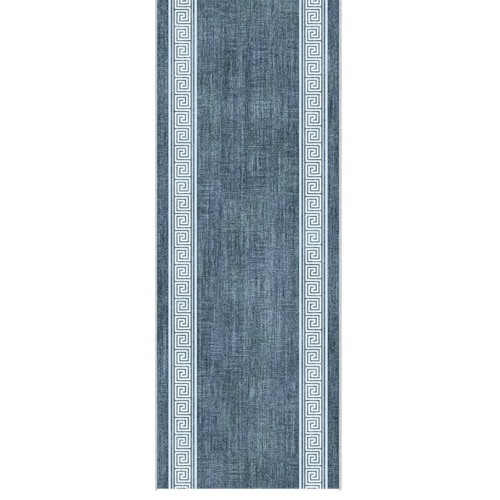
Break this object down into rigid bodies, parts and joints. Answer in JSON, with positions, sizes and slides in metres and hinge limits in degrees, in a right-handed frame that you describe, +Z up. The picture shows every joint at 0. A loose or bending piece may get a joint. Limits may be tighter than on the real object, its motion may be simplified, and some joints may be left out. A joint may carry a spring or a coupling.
{
  "type": "runner rug",
  "caption": "Long low-pile runner rug: heathered blue field, white meander border along each long side, overlocked edges and an anti-slip backing.",
  "frame": {"origin": "middle of the underside, on the floor", "axes": "+X across the rug, +Y along its length from the front end to the back end, +Z up out of the pile"},
  "size_m": [0.8, 2.5, 0.0078],
  "materials": {
    "blue_pile": "matte",
    "white_pile": "matte",
    "backing_cloth": "matte",
    "latex": "matte",
    "grip_backing": "matte",
    "side_yarn": "matte",
    "end_yarn": "matte",
    "needle_thread": "matte"
  },
  "bodies": {
    "root": {"field_pile": "blue_pile", "margin_pile_left": "blue_pile", "margin_pile_right": "blue_pile", "outer_stripe_left": "white_pile", "outer_stripe_right": "white_pile", "outer_pinstripe_left": "white_pile", "outer_pinstripe_right": "white_pile", "meander_left": "white_pile", "meander_right": "white_pile", "border_ground_left": "blue_pile", "border_ground_right": "blue_pile", "inner_pinstripe_left": "white_pile", "inner_pinstripe_right": "white_pile", "inner_stripe_left": "white_pile", "inner_stripe_right": "white_pile", "backing_cloth": "backing_cloth", "latex_coat": "latex", "grip_backing": "grip_backing", "side_overlock_left": "side_yarn", "side_overlock_right": "side_yarn", "end_overlock_front": "end_yarn", "end_overlock_back": "end_yarn", "side_needle_thread_left": "needle_thread", "side_needle_thread_right": "needle_thread", "end_needle_thread_front": "needle_thread", "end_needle_thread_back": "needle_thread"}
  },
  "joints": []
}
